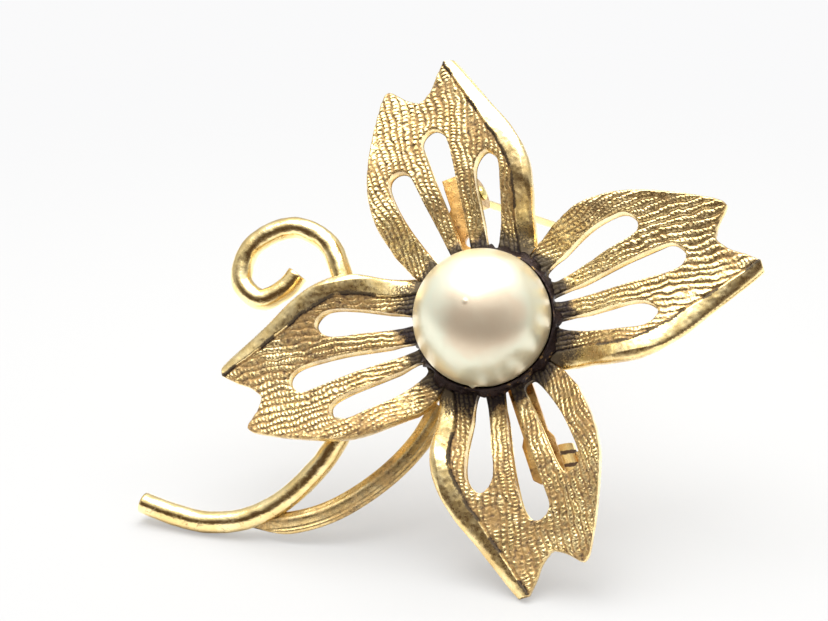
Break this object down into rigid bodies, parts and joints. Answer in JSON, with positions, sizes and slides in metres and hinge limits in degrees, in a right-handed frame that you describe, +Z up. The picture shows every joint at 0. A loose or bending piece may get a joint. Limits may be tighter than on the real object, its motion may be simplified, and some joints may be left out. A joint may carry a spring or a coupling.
{
  "type": "flower brooch",
  "caption": "Gold-tone flower brooch with openwork petals round a domed faux pearl, a scrolled stem with a branch, and a hinged pin with a turning safety catch.",
  "frame": {"origin": "centre of the footprint of the leaning brooch, on the floor", "axes": "+X to the flower's right, seen from the front; -Y is the side the flower faces; +Z up. The face leans back 34.5 degrees from upright"},
  "size_m": [0.06, 0.0598, 0.0446],
  "materials": {
    "antique_gold": "antiqued gold tone, ridged, with dark patina in its recesses",
    "polished_gold": "polished gold tone",
    "back_gold": "satin gold tone",
    "dark_patina": "blackened patina",
    "solder": "dull solder",
    "pin_metal": "bright pale wire",
    "pearl": "cream pearlescent coating"
  },
  "bodies": {
    "brooch": {"petal_top": "antique_gold", "petal_right": "antique_gold", "petal_bottom": "antique_gold", "petal_left": "antique_gold", "centre_hub": "back_gold", "pearl_post": "back_gold", "pearl_seat": "dark_patina", "pearl": "pearl", "stem": "polished_gold", "scroll": "polished_gold", "branch": "antique_gold", "solder_scroll": "solder", "solder_branch": "solder", "pin_bar": "back_gold", "solder_bar_left": "solder", "solder_bar_right": "solder", "hinge_bracket": "back_gold", "hinge_rivet": "pin_metal", "catch_body": "back_gold"},
    "pin": {"pin_stem": "pin_metal"},
    "roller": {"catch_roller": "back_gold"}
  },
  "joints": [
    {"name": "pin_swing", "type": "hinge", "parent": "brooch", "child": "pin", "pos_m": [-0.00267, -0.00042, 0.02994], "axis": [0.8668, 0.1305, 0.4813], "range_deg": [-96.5, 53.5]},
    {"name": "catch_turn", "type": "hinge", "parent": "brooch", "child": "roller", "pos_m": [0.01174, -0.01545, 0.00807], "axis": [0.4772, -0.4978, -0.7243], "range_deg": [-80, 0]}
  ]
}
